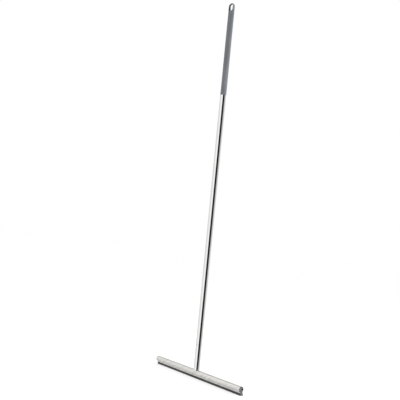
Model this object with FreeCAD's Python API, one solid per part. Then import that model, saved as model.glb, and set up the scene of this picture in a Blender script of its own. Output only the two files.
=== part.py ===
import FreeCAD, Part
import math
import os

# Long-handled window squeegee: a rubber blade in a rolled metal channel, a short neck,
# and a slim metal pole with a grip and a hanging eye.
# Frame: +Z up along the pole, X along the blade, -Y the front.
# The origin is under the pole's axis, on the level of the blade's wiping face.

Vector = FreeCAD.Vector

# Driving dimensions, in millimetres and degrees.
OVERALL_HEIGHT = 1260.0
BLADE_LENGTH = 450.0
POLE_RADIUS = 10.0
POLE_WALL = 0.8
GRIP_LENGTH = 309.0
NECK_HEIGHT = 92.9          # channel axis to the screw joint
CHANNEL_AXIS_HEIGHT = 19.6
CHANNEL_RADIUS = 9.0
CHANNEL_WALL = 1.0
HEAD_TILT = 12.0            # the blade leans back below the pole
EYE_TURN = 17.0             # the eye sits turned about the pole's axis

# Channel and blade section.
LIP_HALF_WIDTH = 5.0
LIP_DROP = 10.8
LIP_ROOT_FILLET = 1.6
LIP_EDGE_FILLET = 0.3
SLIDE_GAP = 0.3
SHOULDER_HALF_WIDTH = 4.6
SHOULDER_DEPTH = 1.0
FOOT_FRONT = 4.9
FOOT_BACK = 5.4
FOOT_FLARE_DROP = 17.0
FOOT_TRIM_DEPTH = 3.0
BEAD_BORE_RADIUS = 2.8
BEAD_BORE_OFFSET = (4.2, -0.9)

# Screw joint between the neck and the pole.
THREAD_RADIUS = 6.0
THREAD_CLEARANCE = 0.1
WASHER_THICKNESS = 1.0
WASHER_INSET = 0.2
INSERT_LENGTH = 30.0
STUD_IN_NECK = 22.0
STUD_IN_POLE = 18.0
STUD_CHAMFER = 0.6

# Neck foot: a saddle plug and the countersunk screw that holds the channel to it.
NECK_FOOT_RISE = 7.5
SADDLE_FOOT_RISE = 5.5
SADDLE_TOP_RISE = 34.0
SCREW_RADIUS = 3.0
SCREW_HEAD_RADIUS = 5.5
SCREW_TOP_RISE = 26.0
SCREW_HEX_RADIUS = 2.3
SCREW_HEX_DEPTH = 2.0
SCREW_HEAD_GAP = 0.05
SCREW_HEAD_RIM = 0.5

# Grip, its core tube and the hanging eye.
CORE_RADIUS = 8.0
CORE_WALL = 1.0
CORE_IN_POLE = 70.0
GRIP_EDGE_FILLET = 0.5
EYE_LENGTH = 40.0
EYE_SHOULDER = 8.0
EYE_STEM = 52.0
EYE_TOP_THICKNESS = 4.8
EYE_TAPER_LENGTH = 36.0
SLOT_WIDTH = 14.2
SLOT_TOP_WALL = 3.2
SLOT_LENGTH = 25.0
SLOT_EDGE_FILLET = 0.6
EYE_RIM_FILLET = 1.2
PIN_RADIUS = 1.5
PIN_WALL = 0.4
PIN_SLIT = 0.5
PIN_DROP = 75.0

# How far a cutting tool runs past the face it cuts, and how close counts as the same place.
OVERRUN = 1.0
SAME_PLACE = 0.05

# Heights worked out from the driving dimensions.
POLE_BORE = POLE_RADIUS - POLE_WALL
CHANNEL_BORE = CHANNEL_RADIUS - CHANNEL_WALL
JOINT_HEIGHT = CHANNEL_AXIS_HEIGHT + NECK_HEIGHT
POLE_FOOT = JOINT_HEIGHT + WASHER_THICKNESS
GRIP_FOOT = OVERALL_HEIGHT - GRIP_LENGTH
EYE_FOOT = OVERALL_HEIGHT - EYE_LENGTH
CORE_TOP = EYE_FOOT - EYE_SHOULDER
UP = Vector(0, 0, 1)
ALONG = Vector(1, 0, 0)


def rod(radius, foot, top):
    """Solid cylinder on the pole's axis between two heights."""
    return Part.makeCylinder(radius, top - foot, Vector(0, 0, foot))


def tube(outer, inner, foot, top):
    """Open tube on the pole's axis between two heights."""
    return rod(outer, foot, top).cut(rod(inner, foot, top))


def bar_along_blade(radius, offset_y=0.0, offset_z=0.0, over=0.0):
    """Cylinder along the blade, placed from the channel's axis before the head is tilted."""
    start = Vector(-BLADE_LENGTH / 2 - over, offset_y, CHANNEL_AXIS_HEIGHT + offset_z)
    return Part.makeCylinder(radius, BLADE_LENGTH + 2 * over, start, ALONG)


def extrude_section(points, over=0.0):
    """Prism along the blade from (y, z) corners measured from the channel's axis."""
    start = -BLADE_LENGTH / 2 - over
    corners = [Vector(start, y, CHANNEL_AXIS_HEIGHT + z) for y, z in points]
    outline = Part.makePolygon(corners + corners[:1])
    return Part.Face(outline).extrude(ALONG * (BLADE_LENGTH + 2 * over))


def tilt_head(shape):
    """Lean a head piece back about the channel's axis."""
    leaning = shape.copy()
    leaning.rotate(Vector(0, 0, CHANNEL_AXIS_HEIGHT), ALONG, HEAD_TILT)
    return leaning


def turn_eye(shape):
    """Turn an eye piece about the pole's axis."""
    turned = shape.copy()
    turned.rotate(Vector(0, 0, 0), UP, EYE_TURN)
    return turned


def long_edges_at(shape, half_width, height):
    """Edges parallel to the blade at the given distance either side and height."""
    found = []
    for edge in shape.Edges:
        middle = edge.BoundBox.Center
        is_long = edge.BoundBox.XLength > BLADE_LENGTH - SAME_PLACE
        near_side = abs(abs(middle.y) - half_width) < SAME_PLACE
        near_height = abs(middle.z - height) < SAME_PLACE
        if is_long and near_side and near_height:
            found.append(edge)
    return found


def screw_envelope():
    """Countersunk screw before its head is trimmed to the channel's bore."""
    head_face = CHANNEL_AXIS_HEIGHT + SADDLE_FOOT_RISE - SCREW_HEAD_RIM
    cone_foot = CHANNEL_AXIS_HEIGHT + CHANNEL_BORE
    cone_height = SCREW_HEAD_RADIUS - SCREW_RADIUS
    head = rod(SCREW_HEAD_RADIUS, head_face, cone_foot)
    cone = Part.makeCone(SCREW_HEAD_RADIUS, SCREW_RADIUS, cone_height, Vector(0, 0, cone_foot))
    shank = rod(SCREW_RADIUS, cone_foot, CHANNEL_AXIS_HEIGHT + SCREW_TOP_RISE)
    return head.fuse([cone, shank]).removeSplitter()


def head_channel():
    """Rolled sheet: a round tube that opens downwards between two straight lips."""
    lips = extrude_section([
        (-LIP_HALF_WIDTH, -LIP_DROP),
        (LIP_HALF_WIDTH, -LIP_DROP),
        (LIP_HALF_WIDTH, 0.0),
        (-LIP_HALF_WIDTH, 0.0),
    ])
    outside = bar_along_blade(CHANNEL_RADIUS).fuse(lips).removeSplitter()
    root_drop = math.sqrt(CHANNEL_RADIUS ** 2 - LIP_HALF_WIDTH ** 2)
    roots = long_edges_at(outside, LIP_HALF_WIDTH, CHANNEL_AXIS_HEIGHT - root_drop)
    outside = outside.makeFillet(LIP_ROOT_FILLET, roots)
    gap = LIP_HALF_WIDTH - CHANNEL_WALL
    slot = extrude_section([
        (-gap, -LIP_DROP - OVERRUN),
        (gap, -LIP_DROP - OVERRUN),
        (gap, 0.0),
        (-gap, 0.0),
    ], over=OVERRUN)
    channel = outside.cut(bar_along_blade(CHANNEL_BORE, over=OVERRUN)).cut(slot)
    lip_edges = long_edges_at(channel, LIP_HALF_WIDTH, CHANNEL_AXIS_HEIGHT - LIP_DROP)
    channel = channel.makeFillet(LIP_EDGE_FILLET, lip_edges)
    return tilt_head(channel).cut(screw_envelope())


def rubber_blade():
    """Rubber extrusion: hollow bead, neck, shoulders under the lips and a splayed, level foot."""
    neck = LIP_HALF_WIDTH - CHANNEL_WALL - SLIDE_GAP
    neck_foot = -LIP_DROP - SLIDE_GAP
    shoulder = neck_foot - SHOULDER_DEPTH
    trim = -CHANNEL_AXIS_HEIGHT - FOOT_TRIM_DEPTH
    foot = extrude_section([
        (-neck, 0.0),
        (-neck, neck_foot),
        (-SHOULDER_HALF_WIDTH, shoulder),
        (-FOOT_FRONT, -FOOT_FLARE_DROP),
        (-FOOT_FRONT, trim),
        (FOOT_BACK, trim),
        (FOOT_BACK, -FOOT_FLARE_DROP),
        (SHOULDER_HALF_WIDTH, shoulder),
        (neck, neck_foot),
        (neck, 0.0),
    ])
    bead = bar_along_blade(CHANNEL_BORE - SLIDE_GAP)
    bore = bar_along_blade(BEAD_BORE_RADIUS, *BEAD_BORE_OFFSET, over=OVERRUN)
    blade = tilt_head(bead.fuse(foot).removeSplitter().cut(bore))
    length = BLADE_LENGTH + 2 * OVERRUN
    depth = CHANNEL_AXIS_HEIGHT
    below = Part.makeBox(length, 2 * depth, depth, Vector(-length / 2, -depth, -depth))
    return blade.cut(below)


def neck_screw():
    """Countersunk screw, its head trimmed flush with the channel's bore."""
    clear_bore = bar_along_blade(CHANNEL_BORE + SCREW_HEAD_GAP, over=OVERRUN)
    screw = screw_envelope().cut(clear_bore)
    socket_foot = CHANNEL_AXIS_HEIGHT + SADDLE_FOOT_RISE - OVERRUN
    socket_top = CHANNEL_AXIS_HEIGHT + CHANNEL_BORE + SCREW_HEX_DEPTH
    corners = [
        Vector(SCREW_HEX_RADIUS * math.cos(math.radians(60 * step)),
               SCREW_HEX_RADIUS * math.sin(math.radians(60 * step)), socket_foot)
        for step in range(7)
    ]
    socket = Part.Face(Part.makePolygon(corners)).extrude(UP * (socket_top - socket_foot))
    return screw.cut(socket)


def neck_saddle():
    """Plug in the neck's foot, hollowed to sit on the channel and tapped for the screw."""
    foot = CHANNEL_AXIS_HEIGHT + SADDLE_FOOT_RISE
    top = CHANNEL_AXIS_HEIGHT + SADDLE_TOP_RISE
    plug = rod(POLE_BORE, foot, top)
    return plug.cut(bar_along_blade(CHANNEL_RADIUS, over=OVERRUN)).cut(screw_envelope())


def neck_tube():
    """Short tube of the pole's diameter that stands on the channel."""
    neck = tube(POLE_RADIUS, POLE_BORE, CHANNEL_AXIS_HEIGHT + NECK_FOOT_RISE, JOINT_HEIGHT)
    return neck.cut(bar_along_blade(CHANNEL_RADIUS, over=OVERRUN))


def neck_top_insert():
    """Metal plug in the top of the neck that holds the stud."""
    foot = JOINT_HEIGHT - INSERT_LENGTH
    return tube(POLE_BORE, THREAD_RADIUS, foot, JOINT_HEIGHT)


def joint_stud():
    """Stud fixed in the neck, whose free end screws up into the pole."""
    foot = JOINT_HEIGHT - STUD_IN_NECK
    top = POLE_FOOT + STUD_IN_POLE
    stud = rod(THREAD_RADIUS, foot, top)
    ends = [edge for edge in stud.Edges if edge.BoundBox.ZLength < SAME_PLACE]
    return stud.makeChamfer(STUD_CHAMFER, ends)


def joint_washer():
    """Thin washer that shows as the seam between the neck and the pole."""
    bore = THREAD_RADIUS + THREAD_CLEARANCE
    return tube(POLE_RADIUS - WASHER_INSET, bore, JOINT_HEIGHT, POLE_FOOT)


def pole_thread_insert():
    """Metal plug in the foot of the pole, bored for the stud."""
    bore = THREAD_RADIUS + THREAD_CLEARANCE
    return tube(POLE_BORE, bore, POLE_FOOT, POLE_FOOT + INSERT_LENGTH)


def pole_tube():
    """Main tube from the screw joint to the grip."""
    return tube(POLE_RADIUS, POLE_BORE, POLE_FOOT, GRIP_FOOT)


def core_bush():
    """Sleeve that centres the core tube in the top of the pole."""
    return tube(POLE_BORE, CORE_RADIUS, GRIP_FOOT - CORE_IN_POLE, GRIP_FOOT)


def eye_pin_hole():
    """Cross hole through the core tube and the eye's stem."""
    middle = OVERALL_HEIGHT - PIN_DROP
    reach = CORE_RADIUS + OVERRUN
    hole = Part.makeCylinder(PIN_RADIUS, 2 * reach, Vector(-reach, 0, middle), ALONG)
    return turn_eye(hole)


def grip_core_tube():
    """Inner tube that carries the grip and stands in the top of the pole."""
    core = tube(CORE_RADIUS, CORE_RADIUS - CORE_WALL, GRIP_FOOT - CORE_IN_POLE, CORE_TOP)
    return core.cut(eye_pin_hole())


def eye_pin():
    """Slit spring pin hidden under the grip, which locks the eye to the core tube."""
    length = 2 * math.sqrt(CORE_RADIUS ** 2 - PIN_RADIUS ** 2)
    start = Vector(-length / 2, 0, OVERALL_HEIGHT - PIN_DROP)
    pin = Part.makeCylinder(PIN_RADIUS, length, start, ALONG)
    pin = pin.cut(Part.makeCylinder(PIN_RADIUS - PIN_WALL, length, start, ALONG))
    slit = Part.makeBox(length, PIN_SLIT, PIN_RADIUS, start - Vector(0, PIN_SLIT / 2, 0))
    return turn_eye(pin.cut(slit))


def grip_sleeve():
    """Soft grip, flush with the pole below it and with the eye above it."""
    grip = tube(POLE_RADIUS, CORE_RADIUS, GRIP_FOOT, EYE_FOOT)
    rims = [edge for edge in grip.Edges
            if edge.BoundBox.ZLength < SAME_PLACE
            and edge.BoundBox.XLength > POLE_RADIUS + CORE_RADIUS]
    return grip.makeFillet(GRIP_EDGE_FILLET, rims)


def eye_face_cutter(side):
    """Wedge that takes one slanting face off the round end, from its full width to its thin top."""
    beyond = POLE_RADIUS + OVERRUN
    slope = (POLE_RADIUS - EYE_TOP_THICKNESS / 2) / EYE_TAPER_LENGTH
    top = OVERALL_HEIGHT + OVERRUN
    foot = OVERALL_HEIGHT - EYE_TAPER_LENGTH - OVERRUN / slope
    corners = [
        Vector(-beyond, side * (EYE_TOP_THICKNESS / 2 - OVERRUN * slope), top),
        Vector(-beyond, side * beyond, foot),
        Vector(-beyond, side * beyond, top),
    ]
    outline = Part.makePolygon(corners + corners[:1])
    return Part.Face(outline).extrude(ALONG * (2 * beyond))


def slot_cutter():
    """Long slot through the tab from front to back, its two ends half circles."""
    radius = SLOT_WIDTH / 2
    depth = 2 * (POLE_RADIUS + OVERRUN)
    upper = OVERALL_HEIGHT - SLOT_TOP_WALL - radius
    lower = upper - SLOT_LENGTH + SLOT_WIDTH
    middle = Part.makeBox(SLOT_WIDTH, depth, upper - lower, Vector(-radius, -depth / 2, lower))
    ends = [Part.makeCylinder(radius, depth, Vector(0, -depth / 2, height), Vector(0, 1, 0))
            for height in (upper, lower)]
    return middle.fuse(ends).removeSplitter()


def hanging_eye():
    """Moulded end: a domed bar tapered to a thin tab with a long slot, on a stem in the core tube."""
    dome_centre = OVERALL_HEIGHT - POLE_RADIUS
    dome = Part.makeSphere(POLE_RADIUS, Vector(0, 0, dome_centre))
    end = rod(POLE_RADIUS, EYE_FOOT, dome_centre).fuse(dome).removeSplitter()
    end = end.cut([eye_face_cutter(-1), eye_face_cutter(1)])
    rims = [edge for edge in end.Edges if edge.BoundBox.ZMin > EYE_FOOT + OVERRUN]
    end = end.makeFillet(EYE_RIM_FILLET, rims)
    end = end.cut(slot_cutter())
    slot_top = OVERALL_HEIGHT - SLOT_TOP_WALL
    slot_foot = slot_top - SLOT_LENGTH
    mouth = [edge for edge in end.Edges
             if edge.BoundBox.ZMin > slot_foot - SAME_PLACE
             and edge.BoundBox.ZMax < slot_top + SAME_PLACE
             and edge.BoundBox.YLength < EYE_TOP_THICKNESS]
    end = end.makeFillet(SLOT_EDGE_FILLET, mouth)
    shoulder = rod(CORE_RADIUS, CORE_TOP, EYE_FOOT)
    stem = rod(CORE_RADIUS - CORE_WALL, CORE_TOP - EYE_STEM, CORE_TOP)
    eye = turn_eye(end).fuse([shoulder, stem]).removeSplitter()
    return eye.cut(eye_pin_hole())


NODES = (
    hanging_eye,
    eye_pin,
    grip_sleeve,
    grip_core_tube,
    core_bush,
    pole_tube,
    pole_thread_insert,
    joint_washer,
    joint_stud,
    neck_tube,
    neck_top_insert,
    neck_saddle,
    neck_screw,
    head_channel,
    rubber_blade,
)

os.makedirs("parts", exist_ok=True)
for make_node in NODES:
    solid = make_node().Solids[0]
    name = make_node.__name__
    solid.exportStep("parts/" + name + ".step")
    print(name, "valid", solid.isValid(), "volume", round(solid.Volume, 1))
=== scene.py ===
import math

import bpy
import numpy as np
from mathutils import Matrix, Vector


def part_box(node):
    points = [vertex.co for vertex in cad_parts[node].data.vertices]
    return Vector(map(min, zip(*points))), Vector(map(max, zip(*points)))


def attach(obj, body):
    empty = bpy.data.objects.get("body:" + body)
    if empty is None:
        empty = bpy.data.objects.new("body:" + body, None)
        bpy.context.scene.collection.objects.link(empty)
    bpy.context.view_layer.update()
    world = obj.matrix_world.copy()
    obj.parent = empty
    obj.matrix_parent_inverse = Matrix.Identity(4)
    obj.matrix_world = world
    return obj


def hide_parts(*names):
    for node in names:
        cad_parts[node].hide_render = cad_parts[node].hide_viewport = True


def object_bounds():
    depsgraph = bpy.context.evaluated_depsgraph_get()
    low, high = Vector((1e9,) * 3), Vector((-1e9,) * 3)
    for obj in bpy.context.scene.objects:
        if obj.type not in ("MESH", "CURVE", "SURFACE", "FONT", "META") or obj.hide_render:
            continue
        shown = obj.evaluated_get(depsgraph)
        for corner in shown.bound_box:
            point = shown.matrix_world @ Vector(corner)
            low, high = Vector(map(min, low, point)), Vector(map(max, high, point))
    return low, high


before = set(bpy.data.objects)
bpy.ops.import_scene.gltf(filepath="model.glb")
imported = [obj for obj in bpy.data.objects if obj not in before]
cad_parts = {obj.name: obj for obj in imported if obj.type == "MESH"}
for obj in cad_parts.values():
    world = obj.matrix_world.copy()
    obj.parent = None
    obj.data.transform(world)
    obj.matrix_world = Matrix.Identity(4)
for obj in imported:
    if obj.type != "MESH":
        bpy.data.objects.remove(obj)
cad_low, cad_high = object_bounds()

MM = 0.001

# Camera: where it stands round the pole, and how it is held.
CAMERA_AZIMUTH = 50.9
CAMERA_DISTANCE = 2.001
CAMERA_HEIGHT = 0.457
CAMERA_PAN = 51.754
CAMERA_ROLL = 5.568
CAMERA_LENS = 53.83
CAMERA_SHIFT_UP = 0.1037

# Soft lamp: its bearing to the right of the camera, distance, height, width and power.
LAMP_BEARING = 75.0
LAMP_DISTANCE = 2.2
LAMP_HEIGHT = 1.3
LAMP_WIDTH = 1.2
LAMP_POWER = 45.0

# Soft room: brightness of its walls and its roof against the bearing to the right of the
# camera, in degrees, and of the ground under it. The bands are the heights on a unit sphere
# over which the walls turn into the roof and into the ground.
WALLS = [(-180, 0.50), (-155, 0.55), (-138, 0.70), (-125, 0.72), (-105, 0.72), (-98, 0.92),
         (-90, 0.92), (-82, 0.72), (-75, 0.72), (-52, 1.00), (-17, 1.00), (-6, 0.01), (50, 0.01),
         (62, 0.30), (95, 0.60), (135, 0.90), (155, 0.55), (180, 0.50)]
ROOF = [(-180, 0.50), (-150, 0.55), (-128, 0.90), (-110, 1.00), (-60, 1.00), (-17, 0.90), (0, 0.35),
        (50, 0.35), (65, 0.60), (100, 0.80), (135, 0.80), (155, 0.55), (180, 0.50)]
ROOM_FLOOR = 0.62
ROOF_BAND = (0.28, 0.55)
FLOOR_BAND = (-0.2, -0.6)

# Floor: its half width in metres, its paint, its glow, and its gap under the blade.
FLOOR_REACH = 30.0
FLOOR_PAINT = 0.55
FLOOR_ROUGHNESS = 0.9
FLOOR_GLOW = 0.6
FLOOR_GAP = 0.2 * MM

# Lay of the brush hatch on the channel, in degrees from its length.
HATCH_ANGLE = -33.0

# Hanging eye: its turn about the pole in degrees, its length, and the half width of its
# parting line.
EYE_TURN = 17.0
EYE_LENGTH = 40.0 * MM
PARTING_LINE = 0.12 * MM

# Slot of the eye: the wall over it, its length, its width and its rounded edge.
SLOT_TOP_WALL = 3.2 * MM
SLOT_LENGTH = 25.0 * MM
SLOT_WIDTH = 14.2 * MM
SLOT_EDGE = 0.6 * MM

# Screw thread of the neck joint: its pitch and radii, the cones at the ends, and where its
# flank starts and how wide the flank is, as shares of half a pitch.
THREAD_PITCH = 1.75 * MM
STUD_CREST = 5.95 * MM
STUD_ROOT = 5.25 * MM
STUD_END_CUT = 0.4 * MM
INSERT_CREST = 5.45 * MM
INSERT_ROOT = 6.10 * MM
INSERT_MOUTH_CUT = 0.3 * MM
FLANK_START = 0.45
FLANK_WIDTH = 0.35

# Fineness of the threads: steps round, steps to a pitch, and steps up a plain wall.
STEPS_ROUND = 48
STEPS_A_PITCH = 14
STEPS_PLAIN = 12

# Edges sharper than this, in degrees, stay sharp in smooth shading.
SHARP_ANGLE = 40.0


# ---------------------------------------------------------------- shader sheets

class Wire:
    """A socket of a material's node tree; arithmetic on it adds Math nodes."""

    def __init__(self, sheet, socket):
        self.sheet = sheet
        self.socket = socket

    def maths(self, operation, *operands):
        values = dict(enumerate(operands))
        return self.sheet.node("ShaderNodeMath", {"operation": operation}, values)

    def __add__(self, other):
        return self.maths("ADD", self, other)

    def __radd__(self, other):
        return self.maths("ADD", other, self)

    def __sub__(self, other):
        return self.maths("SUBTRACT", self, other)

    def __rsub__(self, other):
        return self.maths("SUBTRACT", other, self)

    def __mul__(self, other):
        return self.maths("MULTIPLY", self, other)

    def __rmul__(self, other):
        return self.maths("MULTIPLY", other, self)

    def __truediv__(self, other):
        return self.maths("DIVIDE", self, other)

    def __rtruediv__(self, other):
        return self.maths("DIVIDE", other, self)

    def __pow__(self, other):
        return self.maths("POWER", self, other)

    def __abs__(self):
        return self.maths("ABSOLUTE", self)


class Sheet:
    """One node tree being written: a material's or the world's."""

    def __init__(self, tree):
        self.tree = tree
        self.tree.nodes.clear()

    def node(self, kind, settings=None, inputs=None, output=0):
        """Adds a node: its settings first, a ramp's stops among them, then its sockets."""
        made = self.tree.nodes.new(kind)
        for key, value in (settings or {}).items():
            if key == "stops":
                ramp = made.color_ramp.elements
                while len(ramp) > 1:
                    ramp.remove(ramp[0])
                ramp[0].position = value[0][0]
                ramp[0].color = value[0][1]
                for place, colour in value[1:]:
                    ramp.new(place).color = colour
            else:
                setattr(made, key, value)
        for key, value in (inputs or {}).items():
            if isinstance(value, Wire):
                self.tree.links.new(value.socket, made.inputs[key])
            else:
                made.inputs[key].default_value = value
        return Wire(self, made.outputs[output])

    def band(self, value, low, high, out_low=0.0, out_high=1.0):
        """Smooth step of a value from low to high, written onto another range."""
        values = {
            "Value": value,
            "From Min": low,
            "From Max": high,
            "To Min": out_low,
            "To Max": out_high,
        }
        return self.node("ShaderNodeMapRange", {"interpolation_type": "SMOOTHSTEP"}, values)

    def blend(self, amount, first, second):
        """Colour between two others."""
        values = {"Factor": amount, 6: first, 7: second}
        return self.node("ShaderNodeMix", {"data_type": "RGBA"}, values, output=2)

    def dot(self, first, second):
        """Dot product of two vectors."""
        return self.node("ShaderNodeVectorMath", {"operation": "DOT_PRODUCT"},
                         {0: first, 1: second}, output="Value")


def grey(level):
    return (level, level, level, 1.0)


class Finish(Sheet):
    """A material with a Principled shader, and the patterns that several finishes share."""

    def __init__(self, name, **constants):
        self.material = bpy.data.materials.new(name)
        self.material.use_nodes = True
        super().__init__(self.material.node_tree)
        self.shader = self.tree.nodes.new("ShaderNodeBsdfPrincipled")
        self.out = self.tree.nodes.new("ShaderNodeOutputMaterial")
        self.tree.links.new(self.shader.outputs[0], self.out.inputs["Surface"])
        for key, value in constants.items():
            self.shader.inputs[key.replace("_", " ")].default_value = value
        self.place = self.node("ShaderNodeTexCoord", output="Object")

    def stretched(self, scale, turn=(0.0, 0.0, 0.0), place=None):
        """Object coordinates, or another place, turned, then scaled apart along each axis."""
        turned = self.node("ShaderNodeMapping", {}, {"Vector": place or self.place, "Rotation": turn})
        return self.node("ShaderNodeMapping", {}, {"Vector": turned, "Scale": scale})

    def axes(self):
        """The X, Y and Z of the object coordinates."""
        return [self.node("ShaderNodeSeparateXYZ", {}, {0: self.place}, output=axis) for axis in "XYZ"]

    def noise(self, vector, scale=1.0, detail=4.0):
        """Fractal noise at a place."""
        values = {"Vector": vector, "Scale": scale, "Detail": detail, "Roughness": 0.55}
        return self.node("ShaderNodeTexNoise", {}, values)

    def facing(self, axis):
        """How far the surface faces along an axis, from -1 to 1."""
        normal = self.node("ShaderNodeNewGeometry", output="Normal")
        return self.node("ShaderNodeSeparateXYZ", {}, {0: normal}, output=axis)

    def colour(self, value):
        self.tree.links.new(value.socket, self.shader.inputs["Base Color"])

    def rough(self, value):
        self.tree.links.new(value.socket, self.shader.inputs["Roughness"])

    def relief(self, height, depth):
        """Bump of the given depth, in metres, into the shader's normal."""
        values = {"Height": height, "Distance": depth, "Strength": 1.0}
        bump = self.node("ShaderNodeBump", {}, values)
        self.tree.links.new(bump.socket, self.shader.inputs["Normal"])


# ---------------------------------------------------------------- finishes

def polished_pole():
    """Mirror-polished tube: fine drawn lines along Z, faint wiped smears, hairline scratches."""
    m = Finish("polished_pole", Metallic=1.0)
    drawn = m.noise(m.stretched((900.0, 900.0, 5.0)), detail=3.0)
    smear = m.noise(m.stretched((26.0, 26.0, 7.0), (0.3, 0.0, 0.0)), detail=5.0)
    hair = m.noise(m.stretched((260.0, 260.0, 24.0), (0.5, 0.4, 0.0)), detail=2.0)
    scratch = m.band(abs(hair - 0.5), 0.004, 0.0)
    m.colour(m.blend(m.band(smear, 0.35, 0.7), (0.95, 0.95, 0.935, 1.0), (0.90, 0.905, 0.895, 1.0)))
    m.rough(0.055 + 0.05 * drawn + 0.07 * m.band(smear, 0.45, 0.75) + 0.05 * scratch)
    m.relief(drawn + 0.4 * scratch, 0.0000012)
    return m.material


def brushed_channel():
    """Satin rolled sheet: drawn lines, slanting brush hatch, handling marks, and sawn ends whose dark
    grey is painted shade.

    The lines follow the sheet: their place is (along, round the roll), where the way round is
    the angle about the channel's axis times its radius.
    """
    m = Finish("brushed_channel", Metallic=1.0)
    low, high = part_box("head_channel")
    radius = (high.y - low.y) / 2
    axis_height = high.z - radius
    x, y, z = m.axes()
    around = y.maths("ARCTAN2", y, z - axis_height) * radius
    sheet = m.node("ShaderNodeCombineXYZ", {}, {"X": x, "Y": around})
    saw = m.noise(m.stretched((1.0, 2200.0, 240.0), (0.5, 0.0, 0.0)), detail=3.0)
    drawn = m.noise(m.stretched((7.0, 1500.0, 1.0), place=sheet), detail=3.0)
    slant = (0.0, 0.0, math.radians(HATCH_ANGLE))
    fine = m.noise(m.stretched((30.0, 900.0, 1.0), slant, sheet), detail=3.0)
    broad = m.noise(m.stretched((18.0, 150.0, 1.0), slant, sheet), detail=3.0)
    cloud = m.noise(m.stretched((14.0, 60.0, 60.0)), detail=4.0)
    lines = 0.25 * drawn + 0.3 * fine + 0.45 * broad
    cut_end = m.band(abs(m.facing("X")), 0.8, 0.95)
    light = m.blend(m.band(lines, 0.40, 0.60), (0.74, 0.73, 0.70, 1.0), (1.0, 0.99, 0.955, 1.0))
    # Painted shade: the sawn ends are coloured dark grey for the shade at the cut edge and the gap to
    # the rubber; the saw-mark noise in it is a real texture.
    sawn_end_painted_shading = m.blend(m.band(saw, 0.3, 0.7), (0.17, 0.175, 0.183, 1.0), (0.29, 0.297, 0.31, 1.0))
    m.colour(m.blend(cut_end, light, sawn_end_painted_shading))
    m.rough(0.24 + 0.16 * lines + 0.08 * cloud + 0.15 * cut_end)
    m.relief(lines, 0.000004)
    return m.material


def grip_plastic():
    """Matte grey moulding: spark-eroded grain, streaks along the grip, rubbed patches, scratches.

    The eye also has a parting line round its rim, and painted shade on the wall of its slot: the
    wall is coloured near black where it would lie in shade. The place is turned with the eye to
    give the ways across it and through it. The wall of the slot lies half its width from the
    slot's middle line.
    """
    m = Finish("grip_plastic", Metallic=0.0)
    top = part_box("hanging_eye")[1].z
    x, y, z = m.axes()
    turn = math.radians(EYE_TURN)
    across = x * math.cos(turn) + y * math.sin(turn)
    through = y * math.cos(turn) - x * math.sin(turn)
    slot_middle = top - SLOT_TOP_WALL - SLOT_LENGTH / 2
    past_straight = abs(z - slot_middle) - (SLOT_LENGTH - SLOT_WIDTH) / 2
    past_straight = past_straight.maths("MAXIMUM", past_straight, 0.0)
    from_middle = (across * across + past_straight * past_straight) ** 0.5
    slot_wall_painted_shade = m.band(from_middle, SLOT_WIDTH / 2 + SLOT_EDGE, SLOT_WIDTH / 2)
    eye_foot = top - EYE_LENGTH
    on_eye = m.band(z, eye_foot + 0.5 * MM, eye_foot + 1.0 * MM)
    parting = m.band(abs(through), PARTING_LINE, 0.0) * on_eye
    grain = m.noise(m.place, scale=1800.0, detail=2.0)
    streak = m.noise(m.stretched((170.0, 170.0, 6.0)), detail=3.0)
    rubbed = m.noise(m.stretched((34.0, 34.0, 12.0)), detail=4.0)
    hair = m.noise(m.stretched((420.0, 420.0, 60.0), (0.5, 0.3, 0.0)), detail=2.0)
    scratch = m.band(abs(hair - 0.5), 0.006, 0.0)
    tone = 0.4 * m.band(streak, 0.3, 0.7) + 0.4 * m.band(rubbed, 0.35, 0.7) + 0.2 * grain
    plastic = m.blend(tone, (0.122, 0.129, 0.140, 1.0), (0.205, 0.215, 0.231, 1.0))
    worn = m.blend(0.35 * scratch + 0.5 * parting, plastic, (0.30, 0.31, 0.325, 1.0))
    # Painted shade: the slot's inner wall is coloured near black to stand in for the shade inside the
    # slot.
    m.colour(m.blend(slot_wall_painted_shade, worn, (0.038, 0.040, 0.043, 1.0)))
    m.rough(0.46 + 0.16 * grain - 0.10 * m.band(rubbed, 0.5, 0.75))
    m.relief(grain + 0.3 * streak + 0.8 * parting - 0.5 * scratch, 0.00004)
    return m.material


def blade_rubber():
    """Extruded black rubber: die lines along X, a dry bloom, and sawn ends with slanting marks, the
    ends painted light: a lighter grey lit copy of the rubber.
    """
    m = Finish("blade_rubber", Metallic=0.0)
    die_lines = m.noise(m.stretched((4.0, 900.0, 900.0)), detail=3.0)
    bloom = m.noise(m.stretched((25.0, 90.0, 90.0)), detail=5.0)
    grain = m.noise(m.place, scale=1400.0, detail=2.0)
    sawn_end_painted_shading = m.band(abs(m.facing("X")), 0.7, 0.95)
    dark = m.blend(m.band(bloom, 0.35, 0.75), (0.029, 0.030, 0.031, 1.0), (0.056, 0.058, 0.059, 1.0))
    saw = m.noise(m.stretched((1.0, 2200.0, 200.0), (0.6, 0.0, 0.0)), detail=3.0)
    # Painted light: the end faces get a lighter grey, a lit copy of the black rubber; the saw-mark
    # noise in it is a real texture.
    ends = m.blend(m.band(saw, 0.3, 0.7), (0.104, 0.108, 0.115, 1.0), (0.162, 0.169, 0.180, 1.0))
    m.colour(m.blend(sawn_end_painted_shading, dark, ends))
    m.rough(0.50 + 0.20 * bloom + 0.10 * die_lines)
    m.relief(0.7 * die_lines + 0.3 * grain + 0.5 * saw * sawn_end_painted_shading, 0.00003)
    return m.material


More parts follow.
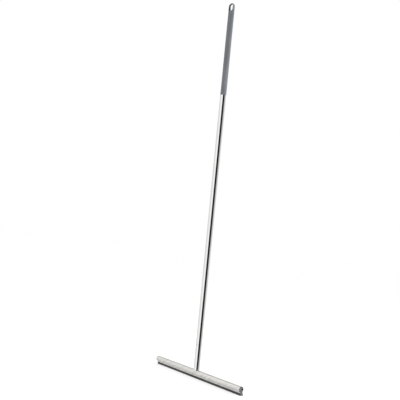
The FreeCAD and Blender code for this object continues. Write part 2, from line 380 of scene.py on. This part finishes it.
def seam_nylon():
    """Natural nylon washer: turned rings and a faint translucent mottling."""
    m = Finish("seam_nylon", Metallic=0.0)
    rings = m.noise(m.stretched((60.0, 60.0, 5000.0)), detail=2.0)
    mottle = m.noise(m.place, scale=240.0, detail=3.0)
    m.colour(m.blend(mottle, (0.11, 0.11, 0.108, 1.0), (0.16, 0.16, 0.156, 1.0)))
    m.rough(0.42 + 0.2 * rings)
    m.relief(rings, 0.00001)
    return m.material


def zinc_steel():
    """Zinc-plated steel: crystalline mottling, bright worn spots."""
    m = Finish("zinc_steel", Metallic=1.0)
    spangle = m.node("ShaderNodeTexVoronoi", {}, {"Vector": m.place, "Scale": 900.0}, output=0)
    wear = m.noise(m.place, scale=420.0, detail=4.0)
    m.colour(m.blend(m.band(wear, 0.4, 0.7), (0.56, 0.57, 0.57, 1.0), (0.72, 0.72, 0.70, 1.0)))
    m.rough(0.26 + 0.16 * wear + 0.1 * spangle)
    m.relief(wear, 0.000008)
    return m.material


def turned_metal(name, dark, light, rough):
    """Turned bar: tool marks round the axis and slight staining."""
    m = Finish(name, Metallic=1.0)
    tool_marks = m.noise(m.stretched((30.0, 30.0, 2600.0)), detail=2.0)
    stain = m.noise(m.place, scale=120.0, detail=4.0)
    m.colour(m.blend(m.band(stain, 0.35, 0.7), dark, light))
    m.rough(rough + 0.16 * tool_marks + 0.08 * stain)
    m.relief(tool_marks, 0.000008)
    return m.material


def bush_plastic():
    """Dark moulded bush with a fine grain."""
    m = Finish("bush_plastic", Metallic=0.0)
    grain = m.noise(m.place, scale=1500.0, detail=2.0)
    mottle = m.noise(m.place, scale=160.0, detail=3.0)
    m.colour(m.blend(mottle, (0.020, 0.020, 0.022, 1.0), (0.040, 0.040, 0.044, 1.0)))
    m.rough(0.45 + 0.2 * grain)
    m.relief(grain, 0.00001)
    return m.material


# ---------------------------------------------------------------- pieces

def add_piece(name, places, faces, finish, body):
    """New object from vertices and faces, smooth but for its sharp edges, riding a body."""
    mesh = bpy.data.meshes.new(name)
    mesh.from_pydata(places.tolist(), [], faces)
    mesh.shade_smooth()
    mesh.set_sharp_from_angle(angle=math.radians(SHARP_ANGLE))
    mesh.materials.append(finish)
    piece = bpy.data.objects.new(name, mesh)
    bpy.context.scene.collection.objects.link(piece)
    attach(piece, body)
    return piece


def grid_piece(name, points, finish, body):
    """Closed skin from a grid of points: rows run round the piece, columns along it.

    points[i, j] is the place at step i along and step j round; the two ends are closed by fans
    about the mean of their rings.
    """
    along, around = points.shape[:2]
    ring = np.arange(around)
    following = (ring + 1) % around
    start = (np.arange(along - 1) * around)[:, None]
    quads = np.stack([start + ring, start + following,
                      start + around + following, start + around + ring], axis=-1)
    ends = np.stack([points[0].mean(axis=0), points[-1].mean(axis=0)])
    places = np.concatenate([points.reshape(-1, 3), ends])
    first_centre = along * around
    last_ring = (along - 1) * around
    low_fan = np.stack([following, ring, np.full(around, first_centre)], axis=-1)
    high_fan = np.stack([last_ring + ring, last_ring + following,
                         np.full(around, first_centre + 1)], axis=-1)
    faces = quads.reshape(-1, 4).tolist() + low_fan.tolist() + high_fan.tolist()
    return add_piece(name, places, faces, finish, body)


def round_axis(radius, angle, height):
    """Grid of points from radii, angles about Z and heights that broadcast together."""
    parts = np.broadcast_arrays(radius * np.cos(angle), radius * np.sin(angle), height)
    return np.stack(parts, axis=-1)


def thread_grid(low, high):
    """Heights down a column and angles along a row, fine enough for the thread."""
    steps = int((high - low) / THREAD_PITCH * STEPS_A_PITCH)
    height = np.linspace(low, high, steps)[:, None]
    angle = np.linspace(0, 2 * math.pi, STEPS_ROUND, endpoint=False)[None, :]
    return height, angle


def thread_ridge(height, angle, offset):
    """0 in the groove and 1 on the crest of a right-hand helix.

    The phase is height / pitch - angle / turn + offset; a triangle wave of it is clipped to
    a flat crest and a flat groove.
    """
    phase = height / THREAD_PITCH - angle / (2 * math.pi) + offset
    wave = np.abs(2 * (phase - np.floor(phase)) - 1)
    return np.clip((wave - FLANK_START) / FLANK_WIDTH, 0.0, 1.0)


def threaded_stud(finish):
    """Stud: radius = root + (crest - root) * ridge(height, angle), less a cone at both ends."""
    low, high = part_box("joint_stud")
    height, angle = thread_grid(low.z, high.z)
    ridge = thread_ridge(height, angle, 0.0)
    radius = STUD_ROOT + (STUD_CREST - STUD_ROOT) * ridge
    from_end = np.minimum(height - low.z, high.z - height)
    radius = np.minimum(radius, STUD_ROOT - STUD_END_CUT + from_end)
    piece = grid_piece("stud_thread", round_axis(radius, angle, height), finish, "head")
    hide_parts("joint_stud")


def threaded_insert(finish):
    """Insert: one closed loop up the plain outside and down the threaded bore.

    The bore's radius = root - (root - crest) * ridge, half a pitch from the stud's, with a cone
    at each mouth. Each row of the grid runs round the axis, and the last row meets the first.
    """
    low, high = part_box("pole_thread_insert")
    height, angle = thread_grid(low.z, high.z)
    ridge = thread_ridge(height, angle, 0.5)
    bore = INSERT_ROOT - (INSERT_ROOT - INSERT_CREST) * ridge
    from_end = np.minimum(height - low.z, high.z - height)
    bore = np.maximum(bore, INSERT_ROOT + INSERT_MOUTH_CUT - from_end)
    wall_height = np.linspace(low.z, high.z, STEPS_PLAIN)[:, None]
    wall = np.full((STEPS_PLAIN, STEPS_ROUND), high.x)
    radius = np.concatenate([wall, bore[::-1]])
    level = np.concatenate([wall_height, height[::-1]])
    points = round_axis(radius, angle, level)
    along, around = points.shape[:2]
    ring = np.arange(around)
    following = (ring + 1) % around
    start = np.arange(along)[:, None] * around
    above = (np.arange(along)[:, None] + 1) % along * around
    faces = np.stack([start + ring, start + following, above + following, above + ring], axis=-1)
    piece = add_piece("insert_thread", points.reshape(-1, 3), faces.reshape(-1, 4).tolist(),
                      finish, "pole")
    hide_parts("pole_thread_insert")


# ---------------------------------------------------------------- stage

def camera():
    """Camera at the stated azimuth, distance and height, level but rolled."""
    data = bpy.data.cameras.new("camera")
    data.lens = CAMERA_LENS
    data.sensor_width = 36.0
    data.shift_y = CAMERA_SHIFT_UP
    data.clip_start = 0.05
    data.clip_end = 50.0
    rig = bpy.data.objects.new("camera", data)
    bpy.context.scene.collection.objects.link(rig)
    azimuth = math.radians(CAMERA_AZIMUTH)
    place = Matrix.Translation((CAMERA_DISTANCE * math.sin(azimuth),
                                -CAMERA_DISTANCE * math.cos(azimuth), CAMERA_HEIGHT))
    pan = Matrix.Rotation(math.radians(CAMERA_PAN), 4, "Z")
    level = Matrix.Rotation(math.radians(90.0), 4, "X")
    roll = Matrix.Rotation(math.radians(CAMERA_ROLL), 4, "Z")
    rig.matrix_world = place @ pan @ level @ roll
    bpy.context.scene.camera = rig


def pale_floor():
    """Wide pale floor under the blade; mirrors look past it to the soft room."""
    mesh = bpy.data.meshes.new("floor")
    corners = [(FLOOR_REACH * x, FLOOR_REACH * y, 0) for x, y in ((-1, -1), (1, -1), (1, 1), (-1, 1))]
    mesh.from_pydata(corners, [], [(0, 1, 2, 3)])
    floor = bpy.data.objects.new("floor", mesh)
    bpy.context.scene.collection.objects.link(floor)
    paint = Finish("floor", Base_Color=grey(FLOOR_PAINT), Roughness=FLOOR_ROUGHNESS,
                   Emission_Color=grey(1.0), Emission_Strength=FLOOR_GLOW)
    mesh.materials.append(paint.material)
    floor.location.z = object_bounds()[0].z - FLOOR_GAP
    floor.visible_glossy = False


def soft_room():
    """Soft grey room whose walls and roof are brighter on some bearings; it looks white itself."""
    world = bpy.data.worlds.new("soft_room")
    world.use_nodes = True
    bpy.context.scene.world = world
    room = Sheet(world.node_tree)
    facing = room.node("ShaderNodeTexCoord", output="Generated")
    azimuth = math.radians(CAMERA_AZIMUTH)
    to_front = (math.sin(azimuth), -math.cos(azimuth), 0.0)
    to_right = (math.cos(azimuth), math.sin(azimuth), 0.0)
    front = room.dot(facing, to_front)
    right = room.dot(facing, to_right)
    height = room.dot(facing, (0.0, 0.0, 1.0))
    share = front.maths("ARCTAN2", right, front) / (2 * math.pi) + 0.5
    stops = [[(bearing / 360 + 0.5, grey(level)) for bearing, level in ring] for ring in (WALLS, ROOF)]
    walls, roof = [room.node("ShaderNodeValToRGB", {"stops": ring}, {0: share}) for ring in stops]
    roofed = room.blend(room.band(height, *ROOF_BAND), walls, roof)
    closed = room.blend(room.band(height, *FLOOR_BAND), roofed, grey(ROOM_FLOOR))
    seen = room.node("ShaderNodeLightPath", output="Is Camera Ray")
    shown = room.blend(seen, closed, grey(1.0))
    light = room.node("ShaderNodeBackground", {}, {"Color": shown, "Strength": 1.0})
    out = room.tree.nodes.new("ShaderNodeOutputWorld")
    room.tree.links.new(light.socket, out.inputs["Surface"])


def soft_lamp():
    """Square soft lamp to the camera's right, aimed at the middle of the pole."""
    data = bpy.data.lights.new("soft_lamp", "AREA")
    data.size = LAMP_WIDTH
    data.energy = LAMP_POWER
    lamp = bpy.data.objects.new("soft_lamp", data)
    bpy.context.scene.collection.objects.link(lamp)
    azimuth = math.radians(CAMERA_AZIMUTH + LAMP_BEARING)
    lamp.location = (LAMP_DISTANCE * math.sin(azimuth), -LAMP_DISTANCE * math.cos(azimuth), LAMP_HEIGHT)
    middle = (cad_low + cad_high) / 2
    lamp.rotation_mode = "QUATERNION"
    lamp.rotation_quaternion = (lamp.location - middle).to_track_quat("Z", "Y")
    lamp.visible_glossy = False
    lamp.visible_camera = False


# ---------------------------------------------------------------- making

bpy.context.scene.view_settings.view_transform = "Standard"
camera()
soft_room()
soft_lamp()
pale_floor()

zinc = zinc_steel()
brass = turned_metal("brass_insert", (0.62, 0.46, 0.22, 1.0), (0.76, 0.60, 0.32, 1.0), 0.22)
aluminium = turned_metal("core_aluminium", (0.66, 0.67, 0.68, 1.0), (0.80, 0.81, 0.82, 1.0), 0.24)
grip = grip_plastic()
pole = polished_pole()
NODE_FINISH = {
    "hanging_eye": grip,
    "eye_pin": zinc,
    "grip_sleeve": grip,
    "grip_core_tube": aluminium,
    "core_bush": bush_plastic(),
    "pole_tube": pole,
    "pole_thread_insert": brass,
    "joint_washer": seam_nylon(),
    "joint_stud": zinc,
    "neck_tube": pole,
    "neck_top_insert": brass,
    "neck_saddle": aluminium,
    "neck_screw": zinc,
    "head_channel": brushed_channel(),
    "rubber_blade": blade_rubber(),
}
for node, finish in NODE_FINISH.items():
    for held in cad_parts[node].material_slots:
        held.material = finish

threaded_stud(zinc)
threaded_insert(brass)
